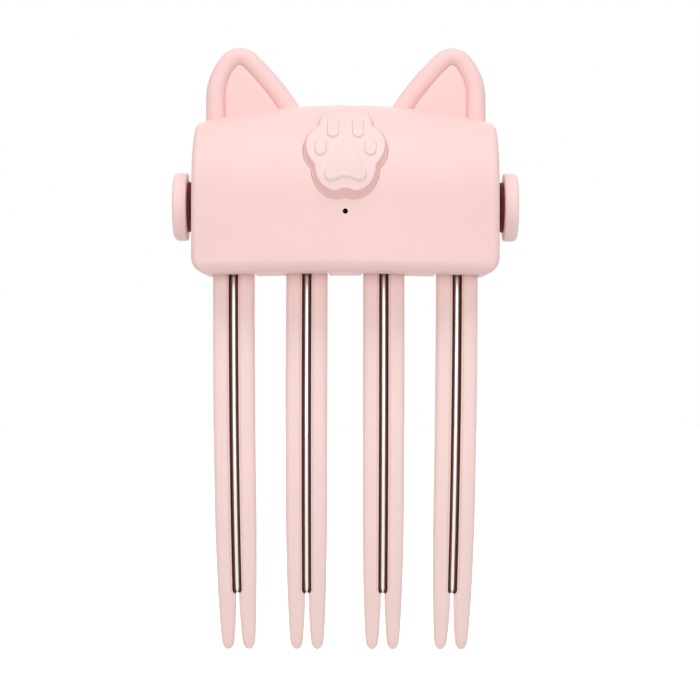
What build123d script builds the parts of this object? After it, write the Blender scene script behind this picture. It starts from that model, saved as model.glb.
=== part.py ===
from build123d import *
from math import cos, radians, sin, sqrt
import os

# Heated root volumizing clip. X runs along the housing, -Y is the front with the paw button,
# and +Z is up. The origin is where the teeth leave the housing, on the plane of the rods.

# Housing
half_width = 37.8
wall = 1.8
front_y = -16.0
back_y = 14.0
top_z = 43.05
end_setback = 4.5
end_drop = 4.7
end_sag = 0.5
roll_y = 8.0
foot_radius = 3.0
brow_radius = 5.0
foot_corner = 4.3
end_rounding = 1.9
roll_radius = roll_y - front_y
roll_z = top_z - roll_radius

# Hinge line of the comb, on the plane where the two shells meet
pivot_y = 8.0
pivot_z = 17.25
pin_radius = 2.0
pin_clearance = 0.1
pin_inner_x = 30.6
pin_outer_x = 42.3
collar_radius = 6.4
collar_height = 0.8
sleeve_radius = 3.1
sleeve_inner_x = 33.2

# Torsion springs, wound on the shells' inner sleeves
wire_radius = 0.35
spring_radius = sleeve_radius + wire_radius
spring_x = 33.35
spring_pitch = 0.72
spring_turns = 3

# Knobs
knob_radius = 8.6
knob_inner_x = 39.1
knob_outer_x = 43.5
cup_radius = 6.9
cup_floor_x = 41.1
hub_radius = 3.4
hub_face_x = 39.7
knob_edge = 0.8
knob_dish = 0.25

# Forks and rods: both follow arcs about one centre behind the clip
fork_places = (-27.9, -9.6, 9.6, 27.9)
outer_toe = 0.55
bow_radius = 176.0
bow_y = 173.9
bow_z = -28.25
rod_radius = 0.975
core_radius = 0.6
rod_end_z = -79.43
core_end_z = -76.6
rod_neck = 9.2
groove_half = 1.25
groove_gap = 0.28
fork_half = 5.15
fork_front = 2.0
tip_z = -95.35
taper_z = -54.0
flank_end_z = -62.0
slot_half = 0.45
slot_foot_z = -82.5
fork_edge = 1.0
neck_rise = 2.1
tip_depth = 2.2
low_depth = 3.9
taper_depth = 5.1
mid_depth = 5.3
neck_z = 0.5

# Comb bar and arms, inside the housing
bar_y = 3.8
bar_depth = 2.8
bar_z = 5.5
bar_height = 4.0
arm_x = 31.2
arm_thick = 1.7
arm_radius = 3.9
slot_front_y = -2.7
slot_back_y = 13.25
slot_side_gap = 0.4
slot_corner = 1.0
slot_lead = 3.2

# Paw button, which slides square to the rolled front
press_angle = 33.5
pad_rise = 1.3
toe_rise = 1.8
waist_radius = 0.7
cap_edge = 0.6
toe_half = 1.5
button_gap = 0.25
flange_width = 0.9
flange_top = -1.95
flange_foot = -2.9
skirt_wall = 1.6
press_reach = 8.0
opening_reach = 10.0
press_cos = cos(radians(press_angle))
press_sin = sin(radians(press_angle))

# Board, switch and battery
board_distance = 14.5
board_thick = 1.2
switch_height = 3.2
stem_foot = 16.4
stem_head = 18.6
stem_radius = 1.3
post_radius = 1.7
battery_x = 56.0
battery_y = 3.6
battery_depth = 7.8
battery_z = 21.0
battery_height = 14.5
board_half = 22.0
board_low = -13.0
board_high = 7.5

# Indicator, port and screws
indicator_z = 14.6
indicator_radius = 0.65
light_height = -14.3
light_length = 4.2
light_width = 2.4
light_depth = 2.6
port_z = 15.2
screw_places = ((-32.0, 31.0), (32.0, 31.0), (-29.0, 12.5), (29.0, 12.5))
boss_radius = 1.9
screw_radius = 0.95
screw_gap = 0.1
screw_length = 8.0
screw_head_radius = 1.7
screw_head_height = 1.0
port_width = 8.94
port_height = 3.26
port_gap = 0.15
port_depth = 7.3
shelf_thick = 1.2

# Ears
ear_front_y = 8.4
ear_thick = 4.2
ear_foot_z = 31.0
ear_flank_x = 35.6
ear_flank_z = 45.0
ear_cheek = (31.4, 56.0)
ear_tip = (23.0, 56.4)
ear_inner_foot_x = 5.9
ear_edge = 1.2
ear_rim = 3.9
ear_recess = 1.0

# Rod holder
holder_half = 32.4
holder_front_y = -5.0
holder_back_y = 3.2
holder_z = 3.2
holder_height = 7.0
rib_thick = 1.6
rib_places = (-18.75, 0.0, 18.75)
fuse_y = -1.0
fuse_x_size = 8.0
fuse_y_size = 3.2
fuse_height = 1.8

os.makedirs("parts", exist_ok=True)


def save(builder, name):
    builder.part.label = name
    export_step(builder.part, f"parts/{name}.step")


def arc_y(radius, z):
    """Depth of the arc of this radius about the bow's centre, at height z."""
    return bow_y - sqrt(radius**2 - (z - bow_z) ** 2)


def surface_y(z, rise):
    """Depth of the rolled front at height z, this far above its skin."""
    return roll_y - sqrt((roll_radius + rise) ** 2 - (z - roll_z) ** 2)


# Housing form: a rolled side profile, lofted so that the top falls and the front sets back at both ends


def side_profile(x, setback, drop, sag, grow):
    front = front_y + setback - grow
    back = back_y + grow
    top = top_z - drop + grow
    base = -sag - grow
    roll = roll_y - front
    foot = foot_radius + grow
    brow = brow_radius + grow
    with BuildSketch(Plane.YZ.offset(x)) as profile:
        with BuildLine():
            Line((front + foot, base), (back - foot, base))
            RadiusArc((back - foot, base), (back, base + foot), -foot)
            Line((back, base + foot), (back, top - brow))
            RadiusArc((back, top - brow), (back - brow, top), -brow)
            Line((back - brow, top), (roll_y, top))
            RadiusArc((roll_y, top), (front, top - roll), -roll)
            Line((front, top - roll), (front, base + foot))
            RadiusArc((front, base + foot), (front + foot, base), -foot)
        make_face()
    return profile.sketch


def housing_form(grow):
    reach = half_width + min(grow, 0)
    with BuildPart() as form:
        for x, share in ((-reach, 1), (0, 0), (reach, 1)):
            add(side_profile(x, share * end_setback, share * end_drop, share * end_sag, grow))
        loft()
    return form.part


def housing_body():
    """Outer form with its two lower corners rounded and its end edges broken."""
    with BuildPart() as body:
        add(housing_form(0))
        with BuildSketch(Plane.XZ.offset(-back_y - 1)):
            with Locations((0, (top_z - end_sag) / 2)):
                Rectangle(2 * half_width, top_z + end_sag)
            fillet(vertices().group_by(Axis.Y)[0], foot_corner)
        extrude(amount=back_y - front_y + 2, mode=Mode.INTERSECT)
        ends = body.edges().filter_by(lambda edge: abs(abs(edge.center().X) - half_width) < 0.001)
        fillet(ends, end_rounding)
    return body.part


shell_form = housing_body()
cavity_form = housing_form(-wall)


# Paw outlines, drawn on the plane that the button is pressed along

pad_z = roll_z + (roll_radius + pad_rise) * press_sin
pad_y = roll_y - (roll_radius + pad_rise) * press_cos


def press_at(distance):
    """Plane square to the press direction, this far from the centre of the rolled front."""
    return Plane(
        origin=(0, roll_y - distance * press_cos, roll_z + distance * press_sin),
        x_dir=(1, 0, 0),
        z_dir=(0, -press_cos, press_sin),
    )


def pad_height(z):
    """Height on the press plane of the pad's surface point at height z."""
    return (surface_y(z, pad_rise) - pad_y) * press_sin + (z - pad_z) * press_cos


def on_press(x, z):
    """Point of the press plane that shows at x and z from the front."""
    return (x, pad_height(z))


# Lobes on one side, as middle x, middle height on the press plane, and radius
paw_lobes = ((1.95, -8.25, 6.13), (3.45, -3.03, 6.74), (0.9, 4.4, 5.34))


def paw_outline(grow):
    """Six round lobes, three to a side, with softened waists."""
    with BuildSketch(press_at(roll_radius + pad_rise)) as outline:
        for lobe_x, lobe_height, radius in paw_lobes:
            for side, turn in ((-1, 0), (1, 180)):
                with Locations(Location((side * lobe_x, lobe_height, 0), (0, 0, turn))):
                    Circle(radius + grow)
        fillet(vertices(), waist_radius)
    return outline.sketch


def toe(x, low_z, high_z):
    low = pad_height(low_z)
    high = pad_height(high_z)
    with Locations((x, (low + high) / 2)):
        Ellipse(toe_half, (high - low) / 2)


def paw_reliefs():
    """Four toe pads and the main pad with its raised lower middle."""
    with BuildSketch(press_at(roll_radius + pad_rise)) as reliefs:
        with BuildLine():
            ThreePointArc(on_press(0, 22.55), on_press(0.6, 22.52), on_press(1.2, 22.42))
            ThreePointArc(on_press(1.2, 22.42), on_press(2.1, 22.0), on_press(3.0, 21.72))
            ThreePointArc(on_press(3.0, 21.72), on_press(4.75, 22.3), on_press(5.1, 24.2))
            ThreePointArc(on_press(5.1, 24.2), on_press(3.9, 26.8), on_press(2.4, 29.4))
            ThreePointArc(on_press(2.4, 29.4), on_press(1.4, 30.7), on_press(0, 31.1))
            mirror(about=Plane.YZ)
        make_face()
        for side in (-1, 1):
            toe(side * 3.05, 32.65, 37.9)
            toe(side * 6.05, 28.1, 32.55)
    return reliefs.sketch


def collars():
    """Rings round both axle holes, with sleeves inside them."""
    with BuildPart() as rings:
        for side in (-1, 1):
            for start, reach, radius in (
                (half_width - wall / 2, wall / 2 + collar_height, collar_radius),
                (sleeve_inner_x, half_width - sleeve_inner_x, sleeve_radius),
            ):
                with BuildSketch(Plane.YZ.offset(side * start)):
                    with Locations((pivot_y, pivot_z)):
                        Circle(radius)
                extrude(amount=side * reach)
    return rings.part


def comb_room():
    """Slots for the four forks and bores for the hinge pins, to cut from both shells."""
    with BuildPart() as room:
        with BuildSketch(Plane.XY.offset(-1)):
            for x in fork_places:
                with Locations((x, (slot_front_y + slot_back_y) / 2)):
                    RectangleRounded(2 * (fork_half + slot_side_gap), slot_back_y - slot_front_y, slot_corner)
        extrude(amount=1 + wall + slot_lead)
        with BuildSketch(Plane.YZ.offset(-half_width - collar_height)):
            with Locations((pivot_y, pivot_z)):
                Circle(pin_radius + pin_clearance)
        extrude(amount=2 * (half_width + collar_height))
    return room.part


# Front shell

with BuildPart() as skin:
    add(shell_form)
    add(cavity_form, mode=Mode.SUBTRACT)

with BuildPart() as front_shell:
    # bosses for the cover's screws, trimmed to the inside of the form
    with BuildSketch(Plane.XZ.offset(-pivot_y)):
        with Locations(*screw_places):
            Circle(boss_radius)
    extrude(amount=roll_radius)
    # ribs that carry the rod holder
    with BuildSketch(Plane.XY.offset(wall - 0.2)):
        for x in rib_places:
            with Locations((x, (front_y + holder_front_y) / 2)):
                Rectangle(rib_thick, holder_front_y - front_y)
    extrude(amount=holder_z + holder_height - wall)
    # ribs that carry the control board
    with BuildSketch(press_at(board_distance)):
        for side in (-1, 1):
            with Locations((side * (board_half - rib_thick), (board_low + board_high) / 2)):
                Rectangle(rib_thick, board_high - board_low)
    extrude(amount=roll_radius / 2)
    add(housing_form(-wall / 2), mode=Mode.INTERSECT)
    add(skin.part)
    add(collars())
    split(bisect_by=Plane.XZ.offset(-pivot_y), keep=Keep.TOP)
    with BuildSketch(Plane.XZ.offset(-pivot_y)):
        with Locations(*screw_places):
            Circle(screw_radius)
    extrude(amount=screw_length, mode=Mode.SUBTRACT)
    add(comb_room(), mode=Mode.SUBTRACT)
    # opening for the paw button
    extrude(paw_outline(button_gap), amount=opening_reach, both=True, mode=Mode.SUBTRACT)
    # hole for the indicator
    with BuildSketch(Plane.XZ.offset(-front_y + 1)):
        with Locations((0, indicator_z)):
            Circle(indicator_radius)
    extrude(amount=-wall - 2, mode=Mode.SUBTRACT)
save(front_shell, "front_shell")


# Ears and rear shell


def ear_outline(side, inset):
    """Upright ear with a rounded tip, which runs down into the cover."""
    with BuildSketch(Plane.XZ.offset(-ear_front_y)) as outline:
        with BuildLine():
            flank = Line((side * ear_flank_x, ear_foot_z), (side * ear_flank_x, ear_flank_z))
            cheek = TangentArc(flank @ 1, (side * ear_cheek[0], ear_cheek[1]), tangent=flank % 1)
            tip = TangentArc(cheek @ 1, (side * ear_tip[0], ear_tip[1]), tangent=cheek % 1)
            slope = TangentArc(tip @ 1, (side * ear_inner_foot_x, ear_foot_z), tangent=tip % 1)
            Line(slope @ 1, flank @ 0)
        make_face()
        if inset:
            offset(amount=-inset)
    return outline.sketch


with BuildPart() as ears:
    for side in (-1, 1):
        extrude(ear_outline(side, 0), amount=-ear_thick)
    rims = ears.edges().filter_by(Axis.Y, reverse=True).filter_by(Axis.X, reverse=True)
    fillet(rims, ear_edge)
    for side in (-1, 1):
        extrude(ear_outline(side, ear_rim), amount=-ear_recess, mode=Mode.SUBTRACT)

with BuildPart() as rear_shell:
    add(shell_form)
    add(ears.part)
    add(cavity_form, mode=Mode.SUBTRACT)
    add(collars())
    split(bisect_by=Plane.XZ.offset(-pivot_y), keep=Keep.BOTTOM)
    # screw posts that meet the bosses of the front shell
    with BuildSketch(Plane.XZ.offset(-pivot_y)):
        with Locations(*screw_places):
            Circle(boss_radius)
    extrude(amount=pivot_y - back_y + wall / 2)
    # shelf under the charging port
    with BuildSketch(Plane.XY.offset(port_z - port_height / 2)):
        with Locations((0, (pivot_y + back_y - wall / 2) / 2)):
            Rectangle(port_width, back_y - wall / 2 - pivot_y)
    extrude(amount=-shelf_thick)
    with BuildSketch(Plane.XZ.offset(-pivot_y)):
        with Locations(*screw_places):
            Circle(screw_radius + screw_gap)
    extrude(amount=-(back_y - pivot_y), mode=Mode.SUBTRACT)
    with BuildSketch(Plane.XZ.offset(-back_y)):
        with Locations(*screw_places):
            Circle(screw_head_radius + screw_gap)
    extrude(amount=screw_head_height, mode=Mode.SUBTRACT)
    add(comb_room(), mode=Mode.SUBTRACT)
    # mouth of the charging port
    with BuildSketch(Plane.XZ.offset(-back_y - 1)):
        with Locations((0, port_z)):
            SlotOverall(port_width + 2 * port_gap, port_height + 2 * port_gap)
    extrude(amount=wall + 2, mode=Mode.SUBTRACT)
save(rear_shell, "rear_shell")


# Screws: four alike, one group

with BuildPart() as housing_screws:
    with BuildSketch(Plane.XZ.offset(-back_y)):
        with Locations(*screw_places):
            Circle(screw_head_radius)
    extrude(amount=screw_head_height)
    with BuildSketch(Plane.XZ.offset(-back_y + screw_head_height)):
        with Locations(*screw_places):
            Circle(screw_radius)
    extrude(amount=screw_length + back_y - pivot_y - screw_head_height - 0.5)
    with BuildSketch(Plane.XZ.offset(-back_y)):
        with Locations(*screw_places):
            Rectangle(2.0, 0.5)
            Rectangle(0.5, 2.0)
    extrude(amount=0.6, mode=Mode.SUBTRACT)
save(housing_screws, "housing_screws")


# Hinge pins, knobs and springs, made for the right side and mirrored


def hinge_pin():
    with BuildPart() as pin:
        with BuildSketch(Plane.YZ.offset(pin_inner_x)):
            with Locations((pivot_y, pivot_z)):
                Circle(pin_radius)
        extrude(amount=pin_outer_x - pin_inner_x)
        chamfer(pin.edges().filter_by(GeomType.CIRCLE), 0.3)
    return pin.part


def knob():
    """Disc with a softened rim, a cup in its inner face and a hub that takes the pin."""
    with BuildPart() as disc:
        for start, reach, radius, mode in (
            (knob_inner_x, knob_outer_x - knob_inner_x, knob_radius, Mode.ADD),
            (knob_inner_x, cup_floor_x - knob_inner_x, cup_radius, Mode.SUBTRACT),
            (hub_face_x, cup_floor_x - hub_face_x, hub_radius, Mode.ADD),
            (hub_face_x, pin_outer_x - hub_face_x, pin_radius, Mode.SUBTRACT),
            (knob_outer_x, -knob_dish, knob_radius - 2 * knob_edge, Mode.SUBTRACT),
        ):
            with BuildSketch(Plane.YZ.offset(start)):
                with Locations((pivot_y, pivot_z)):
                    Circle(radius)
            extrude(amount=reach, mode=mode)
        rims = disc.edges().filter_by(GeomType.CIRCLE)
        fillet(rims.filter_by(lambda edge: edge.radius > knob_radius - 0.01).sort_by(Axis.X)[-1], knob_edge)
    return disc.part


def torsion_spring():
    start = (spring_x, pivot_y, pivot_z)
    with BuildPart() as spring:
        with BuildLine() as coil:
            Helix(spring_pitch, spring_pitch * spring_turns, spring_radius, center=start, direction=(1, 0, 0))
        with BuildSketch(Plane(origin=coil.line @ 0, z_dir=coil.line % 0)):
            Circle(wire_radius)
        sweep(path=coil.line)
    return spring.part


for side_name, side in (("left", -1), ("right", 1)):
    for piece_name, make_piece in (
        ("hinge_pin", hinge_pin),
        ("knob", knob),
        ("torsion_spring", torsion_spring),
    ):
        with BuildPart() as piece:
            add(make_piece())
            if side < 0:
                mirror(about=Plane.YZ, mode=Mode.REPLACE)
        save(piece, f"{piece_name}_{side_name}")


# Fork comb: bar, arms and four forks


def fork_side():
    """Side view of a fork: bowed front, thinner towards the tip, with a neck up to the bar."""
    front = bow_radius + fork_front
    floor = bow_radius - rod_radius - groove_gap
    bar_back = bar_y + bar_depth
    bar_top = bar_z + bar_height
    with BuildSketch(Plane.YZ.offset(-fork_half)) as view:
        with BuildLine():
            tip = (arc_y(front, tip_z), tip_z)
            tip_back = (arc_y(front, tip_z) + tip_depth, tip_z)
            taper = (arc_y(front, taper_z) + taper_depth, taper_z)
            root = (bar_back, bar_z)
            ThreePointArc((arc_y(front, neck_z), neck_z), (arc_y(front, -45), -45), tip)
            Line(tip, tip_back)
            ThreePointArc(tip_back, (arc_y(front, -75) + low_depth, -75), taper)
            ThreePointArc(taper, (arc_y(front, -28) + mid_depth, -28), root)
            Polyline(
                root,
                (bar_back, bar_top),
                (bar_y, bar_top),
                (bar_y, bar_z - neck_rise),
                (arc_y(floor, neck_z), neck_z),
                (arc_y(front, neck_z), neck_z),
            )
        make_face()
    return view.sketch


def fork_face():
    """Front view of a fork: straight flanks that draw in to two rounded prong tips."""
    with BuildSketch(Plane.XZ) as view:
        with BuildLine():
            Line((0, bar_z + bar_height), (fork_half, bar_z + bar_height))
            Line((fork_half, bar_z + bar_height), (fork_half, taper_z))
            Line((fork_half, taper_z), (fork_half, flank_end_z))
            flank = ThreePointArc((fork_half, flank_end_z), (4.95, -77.0), (4.35, -92.0))
            TangentArc(flank @ 1, (2.7, tip_z), tangent=flank % 1)
            ThreePointArc((2.7, tip_z), (1.6, -94.95), (1.15, -93.8))
            Line((1.15, -93.8), (slot_half, slot_foot_z))
            Line((slot_half, slot_foot_z), (slot_half, rod_end_z))
            Line((slot_half, rod_end_z), (0, rod_end_z))
            mirror(about=Plane.YZ)
        make_face()
    return view.sketch


def groove():
    """Room for the rod: open to the front, floored by the rod's own arc, round at its lower end."""
    floor = bow_radius - rod_radius - groove_gap
    low = rod_end_z - groove_half
    high = 2
    reach = -20
    with BuildPart() as room:
        with BuildSketch(Plane.YZ.offset(-groove_half)):
            with BuildLine():
                ThreePointArc((arc_y(floor, high), high), (arc_y(floor, -40), -40), (arc_y(floor, low), low))
                Polyline((arc_y(floor, low), low), (reach, low), (reach, high), (arc_y(floor, high), high))
            make_face()
        extrude(amount=2 * groove_half)
        with BuildSketch(Plane.XZ.offset(reach)):
            with Locations((0, (rod_end_z + high) / 2)):
                Rectangle(2 * groove_half, high - rod_end_z)
            with Locations((0, rod_end_z)):
                Circle(groove_half)
        extrude(amount=-2 * reach, mode=Mode.INTERSECT)
    return room.part


def is_long_outer(edge):
    """True for the edges down both flanks of a fork and round its tips, front and back."""
    box = edge.bounding_box()
    return box.size.Z > fork_edge and box.max.Z < 1 and min(abs(box.min.X), abs(box.max.X)) > fork_half / 2


def fork():
    with BuildPart() as blade:
        extrude(fork_side(), amount=2 * fork_half)
        extrude(fork_face(), amount=40, both=True, mode=Mode.INTERSECT)
        fillet(blade.edges().filter_by(is_long_outer), fork_edge)
        add(groove(), mode=Mode.SUBTRACT)
    return blade.part


def toe_place(x):
    """Place of one fork or rod: the outer two lean in towards their tips."""
    lean = outer_toe * ((x > 20) - (x < -20))
    return Location((x, 0, 0), (0, lean, 0))


with BuildPart() as fork_comb:
    with Locations(*[toe_place(x) for x in fork_places]):
        add(fork())
    with BuildSketch(Plane.YZ.offset(-arm_x - arm_thick)):
        with Locations((bar_y + bar_depth / 2, bar_z + bar_height / 2)):
            Rectangle(bar_depth, bar_height)
    extrude(amount=2 * (arm_x + arm_thick))
    for side in (-1, 1):
        with BuildSketch(Plane.YZ.offset(side * arm_x)):
            with Locations((bar_y + bar_depth / 2, bar_z + bar_height / 2)):
                Rectangle(bar_depth, bar_height)
            with Locations((pivot_y, pivot_z)):
                Circle(arm_radius)
            make_hull()
        extrude(amount=side * arm_thick)
    with BuildSketch(Plane.YZ.offset(-arm_x - arm_thick)):
        with Locations((pivot_y, pivot_z)):
            Circle(pin_radius)
    extrude(amount=2 * (arm_x + arm_thick), mode=Mode.SUBTRACT)
save(fork_comb, "fork_comb")


# Heater rods: steel tubes with round ends, on the arc below the housing and straight inside it


def rod_solid(radius, end_z):
    with BuildPart() as bar:
        with BuildLine(Plane.YZ) as path:
            bend = ThreePointArc(
                (arc_y(bow_radius, end_z), end_z),
                (arc_y(bow_radius, end_z / 2), end_z / 2),
                (arc_y(bow_radius, 0), 0),
            )
            Line(bend @ 1, bend @ 1 + bend % 1 * rod_neck)
        with BuildSketch(Plane(origin=path.line @ 0, z_dir=path.line % 0)):
            Circle(radius)
        sweep(path=path.line)
    return bar.part


full_rod = rod_solid(rod_radius, rod_end_z)
core_rod = rod_solid(core_radius, core_end_z)

for number, x in enumerate(fork_places, start=1):
    with BuildPart() as heater_rod:
        with Locations(toe_place(x)):
            add(full_rod)
            with Locations((0, arc_y(bow_radius, rod_end_z), rod_end_z)):
                Sphere(rod_radius)
            add(core_rod, mode=Mode.SUBTRACT)
    save(heater_rod, f"heater_rod_{number}")
    with BuildPart() as heater_core:
        with Locations(toe_place(x)):
            add(core_rod)
    save(heater_core, f"heater_core_{number}")

with BuildPart() as rod_holder:
    with BuildSketch(Plane.XY.offset(holder_z)):
        with Locations((0, (holder_front_y + holder_back_y) / 2)):
            RectangleRounded(2 * holder_half, holder_back_y - holder_front_y, 1.0)
    extrude(amount=holder_height)
    with Locations(*[toe_place(x) for x in fork_places]):
        add(full_rod, mode=Mode.SUBTRACT)
save(rod_holder, "rod_holder")

with BuildPart() as thermal_fuse:
    with BuildSketch(Plane.XY.offset(holder_z + holder_height)):
        with Locations((0, fuse_y)):
            Rectangle(fuse_x_size, fuse_y_size)
    extrude(amount=fuse_height)
    chamfer(thermal_fuse.edges().group_by(Axis.Z)[-1], 0.4)
save(thermal_fuse, "thermal_fuse")


# Paw button: a cap that follows the rolled front, with a skirt, a flange behind the shell and a post


def press_prism(outline):
    with BuildPart() as prism:
        extrude(outline, amount=press_reach, both=True)
    return prism.part


hollow = press_prism(paw_outline(-skirt_wall))
flange_form = housing_form(flange_foot)


def is_cap_rim(edge):
    """True for the edges on the cap's outer face."""
    middle = edge.center()
    return sqrt((middle.Y - roll_y) ** 2 + (middle.Z - roll_z) ** 2) > roll_radius


with BuildPart() as cap:
    add(press_prism(paw_outline(0)) & housing_form(pad_rise))
    fillet(cap.edges().filter_by(is_cap_rim), cap_edge)

with BuildPart() as paw_button:
    # toe pads and main pad
    add(press_prism(paw_reliefs()))
    add(housing_form(toe_rise), mode=Mode.INTERSECT)
    add(cap.part)
    # flange
    add(press_prism(paw_outline(flange_width)) & housing_form(flange_top))
    add(flange_form, mode=Mode.SUBTRACT)
    add(hollow & housing_form(-0.4), mode=Mode.SUBTRACT)
    with BuildSketch(press_at(stem_head)):
        Circle(post_radius)
    extrude(amount=roll_radius - stem_head)
    # light path from the indicator's chip to its lens
    with BuildSketch(press_at(board_distance - 0.5)):
        with Locations((0, light_height)):
            Rectangle(light_width, light_length)
    extrude(amount=light_depth, mode=Mode.SUBTRACT)
save(paw_button, "paw_button")

with BuildPart() as switch_stem:
    with BuildSketch(press_at(stem_foot)):
        Circle(stem_radius)
    extrude(amount=stem_head - stem_foot)
save(switch_stem, "switch_stem")


# Control board and what it carries

with BuildPart() as control_board:
    with BuildSketch(press_at(board_distance)):
        with Locations((0, (board_low + board_high) / 2)):
            RectangleRounded(2 * board_half, board_high - board_low, 1.0)
    extrude(amount=-board_thick)
save(control_board, "control_board")

with BuildPart() as tact_switch:
    with BuildSketch(press_at(board_distance)):
        RectangleRounded(6.0, 6.0, 0.4)
    extrude(amount=switch_height)
    with BuildSketch(press_at(board_distance + switch_height)):
        Circle(stem_radius + 0.2)
    extrude(amount=-2.2, mode=Mode.SUBTRACT)
save(tact_switch, "tact_switch")

with BuildPart() as board_chips:
    with BuildSketch(press_at(board_distance)):
        with Locations((-13, -2)):
            Rectangle(5.0, 5.0)
        with Locations((12, -1), (12, 3)):
            Rectangle(3.0, 1.6)
        with Locations((-6.5, -9), (6.5, -9)):
            Rectangle(3.2, 2.5)
    extrude(amount=1.2)
save(board_chips, "board_chips")

with BuildPart() as indicator_led:
    with BuildSketch(press_at(board_distance)):
        with Locations((0, board_low + 1.2)):
            Rectangle(1.6, 0.8)
    extrude(amount=0.7)
save(indicator_led, "indicator_led")

with BuildPart() as indicator_lens:
    with BuildSketch(Plane.XZ.offset(-front_y - 0.1)):
        with Locations((0, indicator_z)):
            Circle(indicator_radius)
    extrude(amount=0.1 - wall)
save(indicator_lens, "indicator_lens")


# Battery, its pad, and the charging port with its board

battery_centre = (0, battery_z + battery_height / 2)

with BuildPart() as battery_cell:
    with BuildSketch(Plane.XZ.offset(-battery_y)):
        with Locations(battery_centre):
            Rectangle(battery_x, battery_height)
    extrude(amount=-battery_depth)
    fillet(battery_cell.edges().filter_by(Axis.X), 1.5)
save(battery_cell, "battery_cell")

with BuildPart() as battery_pad:
    with BuildSketch(Plane.XZ.offset(-battery_y - battery_depth)):
        with Locations(battery_centre):
            Rectangle(battery_x - 8, battery_height - 4)
    extrude(amount=battery_y + battery_depth - back_y + wall)
save(battery_pad, "battery_pad")

port_mouth = Plane.XZ.offset(-back_y + 0.1)

with BuildPart() as usb_socket:
    with BuildSketch(port_mouth):
        with Locations((0, port_z)):
            SlotOverall(port_width, port_height)
    extrude(amount=port_depth)
    with BuildSketch(port_mouth):
        with Locations((0, port_z)):
            SlotOverall(port_width - 0.6, port_height - 0.6)
            Rectangle(6.6, 0.7, mode=Mode.SUBTRACT)
    extrude(amount=port_depth - 1.2, mode=Mode.SUBTRACT)
save(usb_socket, "usb_socket")

with BuildPart() as charge_board:
    with BuildSketch(Plane.XY.offset(port_z + port_height / 2)):
        with Locations((0, (battery_y + back_y - wall) / 2)):
            Rectangle(18.0, back_y - wall - battery_y - 0.4)
    extrude(amount=1.0)
save(charge_board, "charge_board")
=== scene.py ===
import math

import bmesh
import bpy
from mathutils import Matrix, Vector


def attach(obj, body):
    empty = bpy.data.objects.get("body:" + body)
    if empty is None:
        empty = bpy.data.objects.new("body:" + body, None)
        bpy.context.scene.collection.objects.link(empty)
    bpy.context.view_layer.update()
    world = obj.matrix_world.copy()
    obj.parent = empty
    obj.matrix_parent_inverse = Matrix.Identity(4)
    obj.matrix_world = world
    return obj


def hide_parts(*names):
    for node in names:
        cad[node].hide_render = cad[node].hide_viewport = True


# Heated root volumizing clip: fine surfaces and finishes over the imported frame.
# Shapes are worked out in millimetres, and new_piece turns them into metres.

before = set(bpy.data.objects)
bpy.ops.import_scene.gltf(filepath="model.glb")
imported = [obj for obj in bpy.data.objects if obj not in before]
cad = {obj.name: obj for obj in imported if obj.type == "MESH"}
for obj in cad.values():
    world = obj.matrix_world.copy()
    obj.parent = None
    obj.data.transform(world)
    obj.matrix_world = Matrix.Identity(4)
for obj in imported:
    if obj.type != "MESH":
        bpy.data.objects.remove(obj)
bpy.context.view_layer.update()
MM = 0.001

# Housing form
HALF_WIDTH = 37.8
END_SETBACK = 4.5
ROLL_Y = 8.0
ROLL_Z = 19.05
ROLL_RADIUS = 24.0
ROLL_FALL = 0.2

# Forks and rods, which follow arcs about one centre behind the clip
BOW_RADIUS = 176.0
BOW_Y = 173.9
BOW_Z = -28.25
FORK_PLACES = (-27.9, -9.6, 9.6, 27.9)
FORK_HALF = 5.15
# The forks and rods beyond this place on either side lean in
OUTER_TOE = math.radians(0.55)
LEAN_BEYOND = 20
FORK_FRONT = 2.0
ROD_RADIUS = 0.975
ROD_END_Z = -79.43
ROD_TOP_Z = 9.0
GROOVE_HALF = 1.17
GROOVE_GAP = 0.28
NECK_Z = 2.0
TIP_Z = -95.35
DOME_Z = -91.5
LIP = 0.2
FRONT_EDGE = 1.5
BACK_EDGE = 1.7
CROWN = 0.18

# Comb bar, arms and hinge line
BAR_Y = (3.8, 6.6)
BAR_Z = (5.5, 9.5)
ARM_X = (31.2, 32.9)
ARM_RADIUS = 3.9
PIVOT_Y = 8.0
PIVOT_Z = 17.25

# Paw button, laid out on the press plane, which is square to the line that it is pressed along
PRESS_TILT = math.radians(33.5)
PRESS_SIN = math.sin(PRESS_TILT)
PRESS_COS = math.cos(PRESS_TILT)
PAD_RISE = 1.3
TOE_RISE = 0.5

# Ears in the front view; the trim keeps them inside the solid clip's bounds
EAR_FLANK_X = 35.6
EAR_FLANK_Z = 45.0
EAR_CHEEK = (31.4, 56.0)
EAR_TIP = (23.0, 56.4)
EAR_INNER_FOOT = (5.9, 31.0)
EAR_FOOT_Z = 36.5
EAR_TRIM = 0.01

# Camera: places and the width of the field in metres, the sensor in millimetres
CAMERA_DISTANCE = 0.490
CAMERA_X = 0.0012
CAMERA_Z = -0.019
CAMERA_ROLL = math.radians(-0.12)
FIELD = 0.175
SENSOR = 36.0


def make_camera():
    """Camera at the photograph's viewing angle."""
    data = bpy.data.cameras.new("camera")
    data.sensor_width = SENSOR
    data.lens = SENSOR * CAMERA_DISTANCE / FIELD
    data.clip_start = 0.01
    data.clip_end = 10
    camera = bpy.data.objects.new("camera", data)
    camera.location = (CAMERA_X, -CAMERA_DISTANCE, CAMERA_Z)
    camera.rotation_euler = (math.radians(90), CAMERA_ROLL, 0)
    bpy.context.scene.collection.objects.link(camera)
    bpy.context.scene.camera = camera
    bpy.context.scene.view_settings.view_transform = "Standard"


# Materials

# Size of the colour clouds in grains, spread of the roughness each way, and height of the bumps in metres
CLOUD_GRAINS = 12
GLOSS_SPREAD = 0.05
BUMP_HEIGHT = 0.0002


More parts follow.
